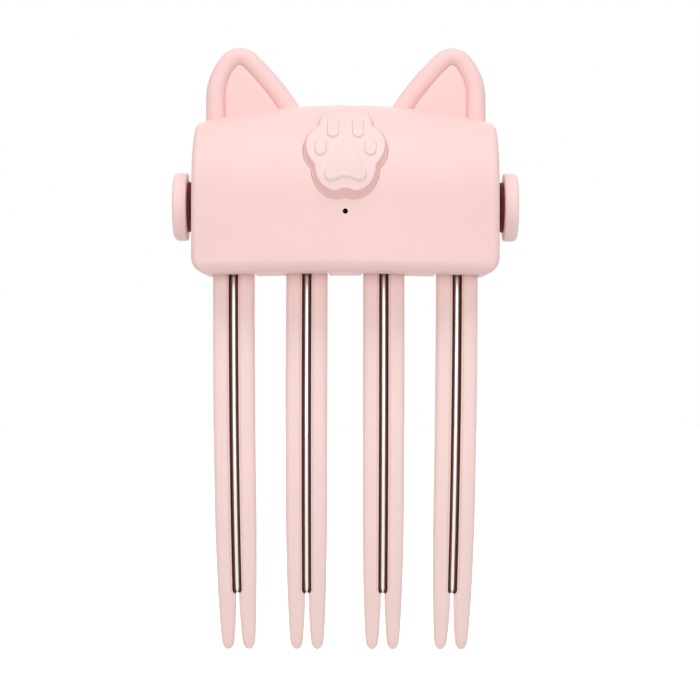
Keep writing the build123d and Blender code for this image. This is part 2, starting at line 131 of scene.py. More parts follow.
def srgb(code):
    """A colour from its hexadecimal display code, as linear light."""
    values = [int(code[place:place + 2], 16) / 255 for place in (0, 2, 4)]
    return [value / 12.92 if value <= 0.04045 else ((value + 0.055) / 1.055) ** 2.4 for value in values]


def material(name, color, roughness, metallic=0.0, vary=0.03, bump=0.03, grain=900.0,
             stretch=(1, 1, 1), **sockets):
    """A surface whose colour, gloss and height vary a little with the place on it."""
    made = bpy.data.materials.new(name)
    made.use_nodes = True
    nodes = made.node_tree.nodes
    links = made.node_tree.links
    shader = nodes["Principled BSDF"]
    place = nodes.new("ShaderNodeTexCoord")
    scaled = nodes.new("ShaderNodeMapping")
    scaled.inputs["Scale"].default_value = stretch
    links.new(place.outputs["Object"], scaled.inputs["Vector"])
    cloud = nodes.new("ShaderNodeTexNoise")
    cloud.inputs["Scale"].default_value = grain / CLOUD_GRAINS
    cloud.inputs["Detail"].default_value = 4
    links.new(scaled.outputs["Vector"], cloud.inputs["Vector"])
    tone = nodes.new("ShaderNodeMix")
    tone.data_type = "RGBA"
    dark = [channel * (1 - vary) for channel in color]
    light = [min(1, channel * (1 + vary)) for channel in color]
    tone.inputs[6].default_value = (*dark, 1)
    tone.inputs[7].default_value = (*light, 1)
    links.new(cloud.outputs["Fac"], tone.inputs["Factor"])
    links.new(tone.outputs[2], shader.inputs["Base Color"])
    gloss = nodes.new("ShaderNodeMapRange")
    gloss.inputs["To Min"].default_value = max(0.02, roughness - GLOSS_SPREAD)
    gloss.inputs["To Max"].default_value = min(1, roughness + GLOSS_SPREAD)
    links.new(cloud.outputs["Fac"], gloss.inputs["Value"])
    links.new(gloss.outputs["Result"], shader.inputs["Roughness"])
    fine = nodes.new("ShaderNodeTexNoise")
    fine.inputs["Scale"].default_value = grain
    fine.inputs["Detail"].default_value = 2
    links.new(scaled.outputs["Vector"], fine.inputs["Vector"])
    height = nodes.new("ShaderNodeBump")
    height.inputs["Strength"].default_value = bump
    height.inputs["Distance"].default_value = BUMP_HEIGHT
    links.new(fine.outputs["Fac"], height.inputs["Height"])
    links.new(height.outputs["Normal"], shader.inputs["Normal"])
    shader.inputs["Metallic"].default_value = metallic
    for socket, value in sockets.items():
        shader.inputs[socket.replace("_", " ")].default_value = value
    return made


PINK = material("soft_pink_plastic", srgb("F6D2CF"), 0.5, Specular_IOR_Level=0.2)
PINK_BUTTON = material("pink_button_plastic", srgb("F1D5D3"), 0.48, Specular_IOR_Level=0.2)
# Deeper pink painted shade for the button's wall, a shaded copy of the button's pink
PINK_WALL_SHADE = material("pink_button_wall_painted_shade", srgb("F2C6C0"), 0.5, Specular_IOR_Level=0.2)
# A lighter copy of the housing's pink: painted light on the forks and crossbar, which stand in stronger light
PINK_FORK_LIT = material("pink_fork_plastic_painted_light", srgb("FADCD7"), 0.46, Specular_IOR_Level=0.25)
# A lighter copy of the housing's pink: painted light on the knobs, the same plastic as the housing
PINK_KNOB_LIT = material("pink_knob_plastic_painted_light", srgb("FBDDD9"), 0.5, Specular_IOR_Level=0.2)
# Dark red-brown painted shade for the knobs' necks, standing in for the shadow between knob and housing
PAINTED_NECK_SHADE = material("painted_shade_knob_neck", srgb("6B2A24"), 0.6, Specular_IOR_Level=0.2)
# Brown painted shade on the fork grooves: it stands in for the groove's shadow, and the rods' sides show it
# as a painted dark reflection
PAINTED_GROOVE_SHADE = material("painted_shade_groove", srgb("9C6A62"), 0.6, Specular_IOR_Level=0.2)
ROD = material("drawn_steel", srgb("D2CCC8"), 0.3, metallic=1.0, vary=0.02, grain=2400, stretch=(1, 1, 0.03))
STEEL = material("polished_steel", srgb("B4B3B4"), 0.25, metallic=1.0)
DARK = material("black_plastic", srgb("141112"), 0.45, Specular_IOR_Level=0.3)
LENS = material("black_lens", srgb("040404"), 0.4, Specular_IOR_Level=0.02)
GREEN = material("circuit_board_green", srgb("1F5B3A"), 0.5)
GREY = material("battery_foil", srgb("A9B0B8"), 0.35, metallic=0.6)
CREAM = material("heatproof_cream", srgb("E8DECB"), 0.6)
FOAM = material("foam_grey", srgb("4A4A4D"), 0.9, bump=0.3)
SPRING = material("spring_steel", srgb("B9B7B2"), 0.3, metallic=1.0)
LED = material("clear_resin", srgb("F2F5F2"), 0.15)

FINISH = {
    "front_shell": PINK, "rear_shell": PINK, "paw_button": PINK_BUTTON,
    "knob_left": PINK_KNOB_LIT, "knob_right": PINK_KNOB_LIT, "fork_comb": PINK_FORK_LIT,
    "indicator_lens": LENS, "torsion_spring_left": SPRING, "torsion_spring_right": SPRING,
    "rod_holder": CREAM, "thermal_fuse": GREY, "control_board": GREEN,
    "charge_board": GREEN, "board_chips": DARK, "tact_switch": DARK,
    "switch_stem": CREAM, "indicator_led": LED, "battery_cell": GREY, "battery_pad": FOAM,
}


def finish_nodes():
    """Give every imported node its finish, plain steel where none is named."""
    for name, node in cad.items():
        node.data.materials.clear()
        node.data.materials.append(FINISH.get(name, STEEL))


# Mesh helpers

# Points nearer to each other than this, in metres, become one
WELD_DISTANCE = 0.000002


def new_piece(name, points, faces, body, finishes, slot, replaced=(), second=(), sharp=40, close=False):
    """A smooth-shaded mesh object from points in millimetres.

    second holds the numbers of the faces that take the second finish.
    """
    mesh = bpy.data.meshes.new(name)
    mesh.from_pydata([(x * MM, y * MM, z * MM) for x, y, z in points], [], faces)
    for number in second:
        mesh.polygons[number].material_index = 1
    piece = bpy.data.objects.new(name, mesh)
    bpy.context.scene.collection.objects.link(piece)
    skin = bmesh.new()
    skin.from_mesh(mesh)
    bmesh.ops.remove_doubles(skin, verts=skin.verts, dist=WELD_DISTANCE)
    if close:
        bmesh.ops.holes_fill(skin, edges=[edge for edge in skin.edges if edge.is_boundary])
    bmesh.ops.recalc_face_normals(skin, faces=skin.faces)
    skin.to_mesh(mesh)
    skin.free()
    mesh.validate()
    mesh.shade_smooth()
    mesh.set_sharp_from_angle(angle=math.radians(sharp))
    for finish in finishes:
        mesh.materials.append(finish)
    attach(piece, body)
    if replaced:
        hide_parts(*replaced)
    return piece


def loft(rings, ends=True, closed=True):
    """Points and faces of a skin over rings of equal count."""
    count = len(rings[0])
    points = [point for ring in rings for point in ring]
    faces = []
    for row in range(len(rings) - 1):
        for place in range(count if closed else count - 1):
            after = (place + 1) % count
            low = row * count
            faces.append((low + place, low + after, low + count + after, low + count + place))
    if ends:
        faces.append(tuple(range(count)))
        last = (len(rings) - 1) * count
        faces.append(tuple(last + place for place in reversed(range(count))))
    return points, faces


def merge(parts):
    """One list of points and faces from several."""
    points, faces = [], []
    for some, skin in parts:
        base = len(points)
        points += some
        faces += [tuple(base + index for index in face) for face in skin]
    return points, faces


def along(table, place):
    """Straight-line value between the table's (place, value) rows, listed from the highest place down."""
    if place >= table[0][0]:
        return table[0][1]
    for (high, first), (low, second) in zip(table, table[1:]):
        if place >= low:
            return first + (second - first) * (high - place) / (high - low)
    return table[-1][1]


def full_turn(steps):
    """Angles of a full turn in equal steps, without the last."""
    return [2 * math.pi * step / steps for step in range(steps)]


def heights_down(top, low, step):
    """Heights from top down to above low, one step apart."""
    heights = []
    while top > low:
        heights.append(top)
        top -= step
    return heights


def corner(centre_a, centre_b, radius, start, steps):
    """Points of a quarter round, turning back by a right angle from the start angle in degrees."""
    angles = [math.radians(start - 90 * step / steps) for step in range(steps + 1)]
    return [(centre_a + radius * math.cos(angle), centre_b + radius * math.sin(angle)) for angle in angles]


def rounded_ring(low_a, high_a, low_b, high_b, radius, steps=4):
    """Closed loop of a rectangle with round corners, as pairs."""
    ring = corner(high_a - radius, high_b - radius, radius, 90, steps)
    ring += corner(high_a - radius, low_b + radius, radius, 0, steps)
    ring += corner(low_a + radius, low_b + radius, radius, -90, steps)
    ring += corner(low_a + radius, high_b - radius, radius, 180, steps)
    return ring


def circle_through(first, second, third):
    """Centre and radius of the circle through three points."""
    (ax, ay), (bx, by), (cx, cy) = first, second, third
    scale = 2 * (ax * (by - cy) + bx * (cy - ay) + cx * (ay - by))
    a_square = ax ** 2 + ay ** 2
    b_square = bx ** 2 + by ** 2
    c_square = cx ** 2 + cy ** 2
    centre_x = (a_square * (by - cy) + b_square * (cy - ay) + c_square * (ay - by)) / scale
    centre_y = (a_square * (cx - bx) + b_square * (ax - cx) + c_square * (bx - ax)) / scale
    return centre_x, centre_y, math.hypot(ax - centre_x, ay - centre_y)


# Forks


def bow_depth(radius, z):
    """Depth of the bow of this radius at height z."""
    return BOW_Y - math.sqrt(radius ** 2 - (z - BOW_Z) ** 2)


def fork_front(z):
    """Depth of the forks' front face at height z."""
    return bow_depth(BOW_RADIUS + FORK_FRONT, z)


# Heights, with the distance of a prong's outer side or of its side to the slot from the fork's middle
OUTER_EDGE = ((-62, 5.15), (-66, 5.13), (-72, 5.04), (-77, 4.95), (-82, 4.81), (-86, 4.66), (-90, 4.47),
              (-92.5, 4.32), (-93.6, 4.17), (-94.4, 3.9), (-94.9, 3.6), (-95.2, 3.25), (-95.35, 2.75))
INNER_EDGE = ((-79.45, 0.42), (-84.0, 0.48), (-88.0, 0.66), (-91.0, 0.86), (-93.0, 1.05), (-94.0, 1.25),
              (-94.6, 1.55), (-95.0, 1.9), (-95.25, 2.3), (-95.35, 2.65))
# Back of the forks: two arcs that meet at one height, from the forks' depth at four heights
BACK_MEET_Z = -54.0
BACK_DEPTHS = ((TIP_Z, 2.2), (-75, 3.9), (BACK_MEET_Z, 5.1), (-28, 5.3))
BACK_POINTS = [(fork_front(z) + depth, z) for z, depth in BACK_DEPTHS]
BACK_UPPER = circle_through(BACK_POINTS[2], BACK_POINTS[3], (BAR_Y[1], BAR_Z[0]))
BACK_LOWER = circle_through(*BACK_POINTS[:3])
# The groove's floor stays these shares of the depth away from the front and from the back
FLOOR_FROM_FRONT = 0.35
FLOOR_FROM_BACK = 0.3
# Largest share of a prong's width or depth that a rounded edge takes
EDGE_SHARE = 0.46
# How squarely the tips close: 2 is an ellipse, and more is squarer
DOME_POWER = 2.6
CROWN_STEPS = 6
EDGE_STEPS = 7
LIP_STEPS = 4
WEB_STEP = 2.0
GROOVE_END_STEPS = (0.01, 0.3, 0.6, 0.9, 1.05, 1.15, 1.25)
PRONG_HEIGHTS = (-82, -84, -86, -88, -89.5, -91, -92, -92.8, -93.5, -94.0, -94.4, -94.7, -94.95, -95.12,
                 -95.25, -95.32)
# Faces round a half fork's ring: on the plane where the halves join, and on the groove's floor and side
MIDDLE_FACES = (0, 1)
# The groove's faces take the brown painted shade
GROOVE_FACES = (2, 3)


def fork_back(z):
    """Depth of the forks' back at height z."""
    centre_y, centre_z, radius = BACK_UPPER if z > BACK_MEET_Z else BACK_LOWER
    return centre_y - math.sqrt(radius ** 2 - (z - centre_z) ** 2)


def half_fork_ring(z, web):
    """Section of one prong at height z, with its half of the web where there is one."""
    front = fork_front(z)
    floor = bow_depth(BOW_RADIUS - ROD_RADIUS - GROOVE_GAP, z)
    back = fork_back(z)
    outer = along(OUTER_EDGE, z)
    slot = along(INNER_EDGE, z)
    below = ROD_END_Z - z
    inner = GROOVE_HALF if below <= 0 else math.sqrt(max(GROOVE_HALF ** 2 - below ** 2, 0))
    inner = max(inner, slot)
    start = 0.0 if web else slot
    if z < DOME_Z:
        share = (DOME_Z - z) / (DOME_Z - TIP_Z)
        pinch = (back - front) / 2 * (1 - math.sqrt(max(1 - share ** DOME_POWER, 0.0)))
        front += pinch
        back -= pinch
    width = outer - inner
    depth = back - front
    floor = min(max(floor, front + depth * FLOOR_FROM_FRONT), back - depth * FLOOR_FROM_BACK)
    lip = min(LIP, width / 3, depth / 3)
    front_edge = min(FRONT_EDGE, width * EDGE_SHARE, depth * EDGE_SHARE)
    back_edge = min(BACK_EDGE, width * EDGE_SHARE, depth * EDGE_SHARE)
    ring = [(start, back), (start, (back + floor) / 2), (start, floor), (inner, floor), (inner, front + lip)]
    ring += corner(inner + lip, front + lip, lip, 180, LIP_STEPS)[1:]
    low, high = inner + lip, outer - front_edge
    for step in range(1, CROWN_STEPS):
        rise = CROWN * math.sin(math.pi * step / CROWN_STEPS) * min(1, width / 3)
        ring.append((low + (high - low) * step / CROWN_STEPS, front - rise))
    turns = [math.pi / 2 * step / EDGE_STEPS for step in range(EDGE_STEPS + 1)]
    ring += [(high + front_edge * math.sin(turn), front + front_edge * (1 - math.cos(turn)))
             for turn in turns]
    ring += [(outer - back_edge * (1 - math.cos(turn)), back - back_edge * (1 - math.sin(turn)))
             for turn in turns]
    return ring


def lean_at(x):
    """Lean of the fork or rod at x: the outer two lean in towards their tips."""
    return OUTER_TOE * ((x > LEAN_BEYOND) - (x < -LEAN_BEYOND))


def place_on_comb(x, points):
    """Points of a fork or rod made at the middle, leaning and moved to its own place."""
    lean = lean_at(x)
    turned = []
    for px, py, pz in points:
        across = x + px * math.cos(lean) + pz * math.sin(lean)
        turned.append((across, py, pz * math.cos(lean) - px * math.sin(lean)))
    return turned


def make_fork(number, x):
    """One fork of two prongs, with its rod's groove in brown painted shade, made as two halves that share a
    web.
    """
    heights = heights_down(NECK_Z, ROD_END_Z, WEB_STEP)
    rows = [(z, True) for z in heights + [ROD_END_Z]]
    rows += [(ROD_END_Z - step, False) for step in GROOVE_END_STEPS]
    rows += [(z, False) for z in PRONG_HEIGHTS]
    groove_rows = len(heights) + len(GROOVE_END_STEPS)
    parts = []
    shaded_groove = []
    base = 0
    for side in (-1, 1):
        rings = [[(side * px, py, z) for px, py in half_fork_ring(z, web)] for z, web in rows]
        points, skin = loft(rings)
        count = len(rings[0])
        inside = {row * count + place for row in range(len(heights)) for place in MIDDLE_FACES}
        groove = {row * count + place for row in range(groove_rows) for place in GROOVE_FACES}
        kept = [face for face in range(len(skin)) if face not in inside]
        # The groove's faces take the brown painted shade
        shaded_groove += [base + order for order, face in enumerate(kept) if face in groove]
        base += len(kept)
        parts.append((points, [skin[face] for face in kept]))
    points, faces = merge(parts)
    new_piece(f"fork_{number}", place_on_comb(x, points), faces, "comb", (PINK_FORK_LIT, PAINTED_GROOVE_SHADE), "comb_pink",
              second=shaded_groove)


# Crossbar with the necks and arms

# Height, front and back of the rings of a neck
NECKS = ((0.5, 1.6, 5.2), (3.4, 3.8, 6.0), (5.5, 3.8, 6.6), (9.5, 3.8, 6.6))
NECK_ROUND = 0.6
BAR_BEVEL = 0.4
BAR_ROUND = 0.7
ARM_BEVEL = 0.3
ARM_BEVEL_SHARE = 0.94
EYE_DEGREES = range(-10, 196, 6)
FOOT_RUN = 0.6
FOOT_RISE = 1.0


def bar_part():
    reach = ARM_X[1]
    inner = reach - BAR_BEVEL
    rings = []
    for x, inset in ((-reach, BAR_BEVEL), (-inner, 0), (inner, 0), (reach, BAR_BEVEL)):
        loop = rounded_ring(BAR_Y[0] + inset, BAR_Y[1] - inset, BAR_Z[0] + inset, BAR_Z[1] - inset, BAR_ROUND)
        rings.append([(x, y, z) for y, z in loop])
    return loft(rings)


def neck_part(centre):
    rings = []
    for z, front, back in NECKS:
        loop = rounded_ring(centre - FORK_HALF, centre + FORK_HALF, front, back, NECK_ROUND)
        rings.append([(x, y, z) for x, y in loop])
    return loft(rings)


def arm_part(side):
    """Flat arm from the bar up to the eye round the hinge pin."""
    eye = []
    for angle in EYE_DEGREES:
        turn = math.radians(angle)
        eye.append((PIVOT_Y + ARM_RADIUS * math.cos(turn), PIVOT_Z + ARM_RADIUS * math.sin(turn)))
    foot = [(BAR_Y[0], BAR_Z[0] + FOOT_RISE), (BAR_Y[0] + FOOT_RUN, BAR_Z[0]),
            (BAR_Y[1] - FOOT_RUN, BAR_Z[0]), (BAR_Y[1], BAR_Z[0] + FOOT_RISE)]
    middle_y = sum(BAR_Y) / 2
    places = ((ARM_X[0], ARM_BEVEL_SHARE), (ARM_X[0] + ARM_BEVEL, 1), (ARM_X[1] - ARM_BEVEL, 1),
              (ARM_X[1], ARM_BEVEL_SHARE))
    rings = []
    for x, shrink in places:
        ring = [(side * x, PIVOT_Y + (y - PIVOT_Y) * shrink, z) for y, z in eye]
        ring += [(side * x, middle_y + (y - middle_y) * shrink, z) for y, z in foot]
        rings.append(ring)
    return loft(rings)


def make_crossbar():
    """The bar with a neck for each fork and an arm at each end."""
    parts = [bar_part()]
    parts += [neck_part(centre) for centre in FORK_PLACES]
    parts += [arm_part(side) for side in (-1, 1)]
    new_piece("comb_crossbar", *merge(parts), "comb", (PINK_FORK_LIT,), "comb_pink", replaced=("fork_comb",))


# Heater rods

ROD_SIDES = 40
ROD_STEP = 1.5
ROD_CAP_STEPS = 8
ROD_CAP_TURN = math.radians(88)


def rod_ring(z, radius):
    """Ring round the rod's arc at height z, square to it."""
    sine = (z - BOW_Z) / BOW_RADIUS
    cosine = math.sqrt(1 - sine ** 2)
    ring = []
    for turn in full_turn(ROD_SIDES):
        across = radius * math.cos(turn)
        outward = radius * math.sin(turn)
        ring.append((across, BOW_Y - (BOW_RADIUS + outward) * cosine, BOW_Z + (BOW_RADIUS + outward) * sine))
    return ring


def make_rod(number, x):
    """One heater rod on its arc, with a round end."""
    heights = heights_down(ROD_TOP_Z, ROD_END_Z, ROD_STEP)
    rings = [rod_ring(z, ROD_RADIUS) for z in heights + [ROD_END_Z]]
    for step in range(1, ROD_CAP_STEPS + 1):
        turn = ROD_CAP_TURN * step / ROD_CAP_STEPS
        rings.append(rod_ring(ROD_END_Z - ROD_RADIUS * math.sin(turn), ROD_RADIUS * math.cos(turn)))
    points, faces = loft(rings)
    new_piece(f"rod_{number}", place_on_comb(x, points), faces, "housing", (ROD,), "rod_steel",
              replaced=(f"heater_rod_{number}",))


# Paw button: a cap that follows the rolled front, on a skirt with a flange and a post

# Lobes as place across, height on the press plane and radius, each mirrored; a higher softness value gives
# sharper waists between them
SKIRT_LOBES = ((1.95, -8.25, 6.13), (3.45, -3.03, 6.74), (0.9, 4.4, 5.34))
SKIRT_SOFTNESS = 5.0
CAP_LOBES = ((2.6, -8.4, 5.3), (2.85, -2.25, 7.35), (1.5, 4.95, 5.3))
CAP_SOFTNESS = 3.0
PAW_MIDDLE = (0.0, -2.5)
PAW_STEPS = 400
PAW_RINGS = 80
POST_RADIUS = 1.7
POST_END = 18.6
POST_CENTRE_SHARE = 0.01
HOLLOW_RISE = -0.4
SKIRT_EDGE = 0.12
# Insets from the skirt's outline and rises over the housing: down the hollow, round the flange and in
SKIRT_STEPS = ((1.6, HOLLOW_RISE), (1.6, -2.9), (-0.9, -2.9), (-0.9, -1.95), (-SKIRT_EDGE, -1.95))
OPENING_GAP = 0.25
# The wall starts flush in the opening, or clears the housing by the press where it stands past the opening
FLUSH_RISE = 0.02
PRESS_REACH = 0.6
LIFT_RUN = 0.15
# Shares of the wall's draft and height, then the draft all round and what the sides have more
WALL_STEPS = ((0.0, 0.0), (0.1, 0.12), (0.75, 0.86), (0.86, 0.95), (1.0, 1.0), (1.25, 1.0))
DRAFT_LOW = 0.2
DRAFT_SIDE = 0.6
# Rows of faces, from the wall's foot up, that take a deeper pink: painted shade on the button's wall
WALL_SHADE_ROWS = 4
# Toe pads as place across, lowest and highest height in the front view
TOES = ((3.05, 32.65, 37.9), (6.05, 28.1, 32.55))
TOE_HALF = 1.5
TOE_EDGE = 0.3
# Half width that the main pad stays within, and the arcs of its right half in the front view
MAIN_PAD_HALF = 5.3
MAIN_PAD_ARCS = (((0, 22.55), (0.6, 22.52), (1.2, 22.42)), ((1.2, 22.42), (2.1, 22.0), (3.0, 21.72)),
                 ((3.0, 21.72), (4.75, 22.3), (5.1, 24.2)), ((5.1, 24.2), (3.9, 26.8), (2.4, 29.4)),
                 ((2.4, 29.4), (1.4, 30.7), (0, 31.1)))


def press_point(x, height, distance):
    """Point at a place on the press plane through the roll's middle, moved out by a distance."""
    return (x, ROLL_Y + height * PRESS_SIN - distance * PRESS_COS,
            ROLL_Z + height * PRESS_COS + distance * PRESS_SIN)


def skin_point(x, height, rise):
    """Point where a press line meets the housing's skin, grown by rise."""
    share = (x / HALF_WIDTH) ** 2
    radius = ROLL_RADIUS - END_SETBACK * share + rise
    fall = ROLL_FALL * share
    inner = height ** 2 + 2 * fall * height * PRESS_COS + fall ** 2 - radius ** 2
    distance = math.sqrt((fall * PRESS_SIN) ** 2 - inner) - fall * PRESS_SIN
    point = press_point(x, height, distance)
    if point[2] < ROLL_Z - fall:
        distance = (height * PRESS_SIN + radius) / PRESS_COS
        point = press_point(x, height, distance)
    return point


def pad_height(z):
    """Height on the press plane of the cap's surface point at height z."""
    radius = ROLL_RADIUS + PAD_RISE
    depth = -math.sqrt(radius ** 2 - (z - ROLL_Z) ** 2)
    return (depth + radius * PRESS_COS) * PRESS_SIN + (z - ROLL_Z - radius * PRESS_SIN) * PRESS_COS


def paw_reach(turn, lobes, softness):
    """Distance from the paw's middle to the lobes' outline in one direction, with softened waists."""
    total = 0.0
    for lobe_x, lobe_height, radius in lobes:
        for side in (-1, 1):
            to_x = side * lobe_x - PAW_MIDDLE[0]
            to_height = lobe_height - PAW_MIDDLE[1]
            ahead = to_x * math.cos(turn) + to_height * math.sin(turn)
            square = ahead ** 2 - to_x ** 2 - to_height ** 2 + radius ** 2
            if square > 0:
                total += math.exp(softness * (ahead + math.sqrt(square)))
    return math.log(total) / softness


def paw_outline(lobes, softness):
    """Points of the lobes' outline with their outward directions, on the press plane."""
    points = []
    for turn in full_turn(PAW_STEPS):
        reach = paw_reach(turn, lobes, softness)
        points.append((PAW_MIDDLE[0] + reach * math.cos(turn), PAW_MIDDLE[1] + reach * math.sin(turn)))
    outline = []
    for place, (x, height) in enumerate(points):
        before = points[place - 1]
        after = points[(place + 1) % PAW_STEPS]
        run = (after[0] - before[0], after[1] - before[1])
        size = math.hypot(*run)
        outline.append((x, height, run[1] / size, -run[0] / size))
    return outline


def three_point_arc(first, second, third, steps=8):
    """Points of the arc from first through second to third, without the last."""
    centre_a, centre_b, radius = circle_through(first, second, third)
    angles = [math.atan2(b - centre_b, a - centre_a) for a, b in (first, second, third)]
    span = (angles[2] - angles[0] + math.pi) % (2 * math.pi) - math.pi
    made = []
    for step in range(steps):
        angle = angles[0] + span * step / steps
        made.append((centre_a + radius * math.cos(angle), centre_b + radius * math.sin(angle)))
    return made


def main_pad_loop():
    """Outline of the main pad on the press plane."""
    half = []
    for arc in MAIN_PAD_ARCS:
        half += three_point_arc(*[(x, pad_height(z)) for x, z in arc])
    half.append((0, pad_height(MAIN_PAD_ARCS[-1][2][1])))
    return half + [(-x, height) for x, height in reversed(half[1:-1])]


def depth_in_loop(x, height, loop):
    """Distance from the point to the loop, or zero outside it."""
    inside = False
    nearest = math.inf
    for (ax, ay), (bx, by) in zip(loop, loop[1:] + loop[:1]):
        if (ay > height) != (by > height) and x < ax + (bx - ax) * (height - ay) / (by - ay):
            inside = not inside
        run_x, run_y = bx - ax, by - ay
        share = ((x - ax) * run_x + (height - ay) * run_y) / (run_x ** 2 + run_y ** 2)
        share = min(1.0, max(0.0, share))
        nearest = min(nearest, math.hypot(x - ax - run_x * share, height - ay - run_y * share))
    return nearest if inside else 0.0


def toe_depth(x, height):
    """Distance inside the nearest toe pad, or zero outside them."""
    deepest = 0.0
    for toe_x, low_z, high_z in TOES:
        low, high = pad_height(low_z) + TOE_HALF, pad_height(high_z) - TOE_HALF
        nearest = min(high, max(low, height))
        deepest = max(deepest, TOE_HALF - math.hypot(abs(x) - toe_x, height - nearest))
    return deepest


def relief(x, height, loop):
    """Rise of the toe pads and the main pad over the cap's face."""
    depth = toe_depth(x, height)
    if depth == 0 and abs(x) < MAIN_PAD_HALF:
        depth = depth_in_loop(x, height, loop)
    return TOE_RISE * math.sin(math.pi / 2 * min(1.0, depth / TOE_EDGE))


def wall_starts(skirt, cap):
    """Rise of the wall's foot at each place round the cap."""
    starts = []
    for skirt_place, cap_place in zip(skirt, cap):
        past = math.dist(cap_place[:2], PAW_MIDDLE) - math.dist(skirt_place[:2], PAW_MIDDLE) - OPENING_GAP
        share = min(1.0, max(0.0, past / LIFT_RUN + 1))
        starts.append(FLUSH_RISE + PRESS_REACH * share)
    return starts


def make_paw():
    """The whole button as one closed skin, from the post's end over the skirt to the middle of the face."""
    skirt = paw_outline(SKIRT_LOBES, SKIRT_SOFTNESS)
    cap = paw_outline(CAP_LOBES, CAP_SOFTNESS)
    starts = wall_starts(skirt, cap)
    loop = main_pad_loop()
    post = [(POST_RADIUS * math.cos(turn), POST_RADIUS * math.sin(turn)) for turn in full_turn(PAW_STEPS)]
    rings = []
    for share in (POST_CENTRE_SHARE, 1):
        rings.append([press_point(x * share, height * share, POST_END) for x, height in post])
    rings.append([skin_point(x, height, HOLLOW_RISE) for x, height in post])
    for inset, rise in SKIRT_STEPS:
        rings.append([skin_point(x - out_x * inset, height - out_height * inset, rise)
                      for x, height, out_x, out_height in skirt])
    rings.append([skin_point(x + out_x * SKIRT_EDGE, height + out_height * SKIRT_EDGE, start)
                  for (x, height, out_x, out_height), start in zip(skirt, starts)])
    foot = (len(rings) - 1) * PAW_STEPS
    # The wall's lowest rows take the deeper pink of painted shade
    wall = range(foot, foot + WALL_SHADE_ROWS * PAW_STEPS)
    for share, climb in WALL_STEPS:
        edge = []
        ring = []
        for (x, height, out_x, out_height), start in zip(cap, starts):
            inset = share * (DRAFT_LOW + DRAFT_SIDE * abs(out_x))
            edge.append((x - out_x * inset, height - out_height * inset))
            ring.append(skin_point(*edge[-1], start + (PAD_RISE - start) * climb))
        rings.append(ring)
    # The face: the wall's last edge drawn in towards the middle, down to a ring of half a step
    for step in range(1, PAW_RINGS + 1):
        share = 1 - step / (PAW_RINGS + 0.5)
        ring = []
        for x, height in edge:
            at_x = PAW_MIDDLE[0] + (x - PAW_MIDDLE[0]) * share
            at_height = PAW_MIDDLE[1] + (height - PAW_MIDDLE[1]) * share
            ring.append(skin_point(at_x, at_height, PAD_RISE + relief(at_x, at_height, loop)))
        rings.append(ring)
    new_piece("paw_cap", *loft(rings), "button", (PINK_BUTTON, PINK_WALL_SHADE), "button_pink",
              replaced=("paw_button",), second=wall, sharp=80)


# Knobs: turned profiles as place on the axle and radius, from the inner end over the neck to the outer face

KNOB_STEPS = 96
KNOB_END = 43.5
KNOB_RADIUS = 8.6
KNOB_CORNER = 1.3
KNOB_CORNER_STEPS = 10
KNOB_NECK = ((39.1, 2.02), (39.1, 6.1), (39.2, 6.3), (39.95, 6.35))
KNOB_RIM = ((39.95, 6.6), (39.95, 8.2), (40.0, 8.42), (40.15, 8.55), (40.4, KNOB_RADIUS), (41.0, KNOB_RADIUS))
KNOB_FACE = ((KNOB_END, 7.2), (43.46, 7.02), (43.34, 6.92), (43.25, 6.75), (43.25, 3.0), (43.25, 0.05))


def make_knob(side_name, side):
    """One side knob, with a neck behind it in dark red-brown painted shade."""
    rounded = corner(KNOB_END - KNOB_CORNER, KNOB_RADIUS - KNOB_CORNER, KNOB_CORNER, 90, KNOB_CORNER_STEPS)
    rings = []
    for x, radius in [*KNOB_NECK, *KNOB_RIM, *rounded, *KNOB_FACE]:
        rings.append([(side * x, PIVOT_Y + radius * math.cos(turn), PIVOT_Z + radius * math.sin(turn))
                      for turn in full_turn(KNOB_STEPS)])
    # The neck's faces take the dark red-brown painted shade
    neck = range((len(KNOB_NECK) - 1) * KNOB_STEPS)
    new_piece(f"turned_knob_{side_name}", *loft(rings), "comb", (PINK_KNOB_LIT, PAINTED_NECK_SHADE), "knob_pink",
              replaced=(f"knob_{side_name}",), second=neck)


# Ears: a rounded bead round a shallow domed panel, over the cover's own ears

FLANK_STEPS = 10
CHEEK_STEPS = 16
TIP_STEPS = 24
SLOPE_STEPS = 60
EAR_SIDE_Y = 9.65
BEAD_HEIGHT = 2.0
BEAD_CUT = math.radians(161)
BEAD_STEPS = 14
PANEL_Y = 7.92
PANEL_DOME = 0.22
# Rungs shorter than this have a lower dome
DOME_LENGTH = 8
# Insets past the bead, with the depth there
PANEL_EDGE = ((0.12, 8.9), (0.2, 8.45), (0.38, 8.12), (0.62, 7.97), (0.9, PANEL_Y))
PANEL_STEPS = 14
EAR_BACK_Y = 10.0
# Heights, with the bead's width there
BEAD_WIDTHS = ((57.5, 4.3), (52, 4.5), (46, 4.6), (41, 4.7), (36, 4.8))


def tangent_arc(start, heading, end, steps):
    """Left-turning arc from start along heading: points with outward directions, and the last heading."""
    run = (end[0] - start[0], end[1] - start[1])
    left = (-heading[1], heading[0])
    sideways = run[0] * left[0] + run[1] * left[1]
    ahead = run[0] * heading[0] + run[1] * heading[1]
    radius = (run[0] ** 2 + run[1] ** 2) / (2 * sideways)
    centre = (start[0] + left[0] * radius, start[1] + left[1] * radius)
    span = 2 * math.atan2(sideways, ahead)
    first = math.atan2(start[1] - centre[1], start[0] - centre[0])
    made = []
    for step in range(steps + 1):
        angle = first + span * step / steps
        made.append((centre[0] + radius * math.cos(angle), centre[1] + radius * math.sin(angle),
                     math.cos(angle), math.sin(angle)))
    last = first + span
    return made, (-math.sin(last), math.cos(last))


